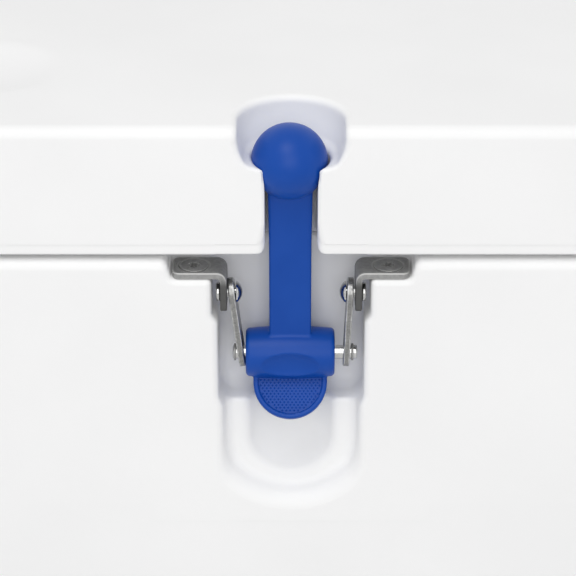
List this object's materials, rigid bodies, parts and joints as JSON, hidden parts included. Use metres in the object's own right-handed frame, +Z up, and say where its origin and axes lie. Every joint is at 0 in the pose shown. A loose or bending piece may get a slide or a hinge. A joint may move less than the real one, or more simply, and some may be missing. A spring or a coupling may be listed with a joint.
{
  "type": "cooler chest",
  "caption": "Hard-sided insulated cooler chest with hinged lid, rubber T-latches on toggle links, bail handles, rubber feet and a screw drain plug.",
  "frame": {"origin": "on the floor under the middle of the chest", "axes": "+X along the length, front faces -Y, +Z up"},
  "size_m": [0.733, 0.4241, 0.405],
  "materials": {
    "white_moulding": "matte, fine moulded grain",
    "foam": "closed-cell foam",
    "seal": "soft, matte",
    "blue_rubber": "satin",
    "stainless": "satin",
    "black_rubber": "matte",
    "grey_plastic": "matte"
  },
  "bodies": {
    "chest": {"body_back": "white_moulding", "body_floor": "white_moulding", "body_foam": "foam", "body_front": "white_moulding", "body_left": "white_moulding", "body_right": "white_moulding", "bracket_screws_left": "stainless", "bracket_screws_right": "stainless", "drain_fitting": "grey_plastic", "drain_gasket": "black_rubber", "drain_nut": "grey_plastic", "foot_front_left": "black_rubber", "foot_front_right": "black_rubber", "foot_rear_left": "black_rubber", "foot_rear_right": "black_rubber", "foot_screws": "stainless", "handle_brackets_left": "stainless", "handle_brackets_right": "stainless", "handle_screws_left": "stainless", "handle_screws_right": "stainless", "hinge_caps_left": "stainless", "hinge_caps_right": "stainless", "hinge_rod_left": "stainless", "hinge_rod_right": "stainless", "latch_bracket_left_inner": "stainless", "latch_bracket_left_outer": "stainless", "latch_bracket_right_inner": "stainless", "latch_bracket_right_outer": "stainless"},
    "lid": {"lid_shell": "white_moulding", "lid_foam": "foam", "lid_gasket": "seal"},
    "toggle_left": {"latch_link_left_outer": "stainless", "latch_link_left_inner": "stainless", "latch_rivets_left": "stainless", "latch_pin_left": "stainless", "pin_rings_left": "stainless"},
    "strap_left": {"latch_strap_left": "blue_rubber"},
    "handle_left": {"handle_bail_left": "stainless", "handle_grip_left": "black_rubber"},
    "toggle_right": {"latch_link_right_outer": "stainless", "latch_link_right_inner": "stainless", "latch_rivets_right": "stainless", "latch_pin_right": "stainless", "pin_rings_right": "stainless"},
    "strap_right": {"latch_strap_right": "blue_rubber"},
    "handle_right": {"handle_bail_right": "stainless", "handle_grip_right": "black_rubber"},
    "plug_carrier": {"plug_washer": "black_rubber"},
    "plug": {"drain_plug": "grey_plastic"}
  },
  "joints": [
    {"name": "lid_hinge", "type": "hinge", "parent": "chest", "child": "lid", "pos_m": [0, 0.205, 0.3475], "axis": [-1, 0, 0], "range_deg": [0, 95]},
    {"name": "toggle_left", "type": "hinge", "parent": "chest", "child": "toggle_left", "pos_m": [-0.15, -0.196, 0.3262], "axis": [-1, 0, 0], "range_deg": [0, 110]},
    {"name": "strap_left", "type": "hinge", "parent": "toggle_left", "child": "strap_left", "pos_m": [-0.15, -0.193, 0.2955], "axis": [1, 0, 0], "range_deg": [0, 110], "deforming": ["latch_strap_left"]},
    {"name": "toggle_right", "type": "hinge", "parent": "chest", "child": "toggle_right", "pos_m": [0.15, -0.196, 0.3262], "axis": [-1, 0, 0], "range_deg": [0, 110]},
    {"name": "strap_right", "type": "hinge", "parent": "toggle_right", "child": "strap_right", "pos_m": [0.15, -0.193, 0.2955], "axis": [1, 0, 0], "range_deg": [0, 110], "deforming": ["latch_strap_right"]},
    {"name": "handle_left", "type": "hinge", "parent": "chest", "child": "handle_left", "pos_m": [-0.354, 0, 0.3], "axis": [0, 1, 0], "range_deg": [0, 100]},
    {"name": "handle_right", "type": "hinge", "parent": "chest", "child": "handle_right", "pos_m": [0.354, 0, 0.3], "axis": [0, -1, 0], "range_deg": [0, 100]},
    {"name": "plug_slide", "type": "slide", "parent": "chest", "child": "plug_carrier", "axis": [1, 0, 0], "range_m": [0, 0.015]},
    {"name": "plug_turn", "type": "hinge", "parent": "plug_carrier", "child": "plug", "pos_m": [0.34, 0, 0.074], "axis": [1, 0, 0], "range_deg": [0, 1800]}
  ],
  "couplings": [
    {"joint": "strap_left", "follows": "toggle_left", "ratio": 1},
    {"joint": "strap_right", "follows": "toggle_right", "ratio": 1},
    {"joint": "plug_turn", "follows": "plug_slide", "rad_per_m": 2094.4}
  ]
}
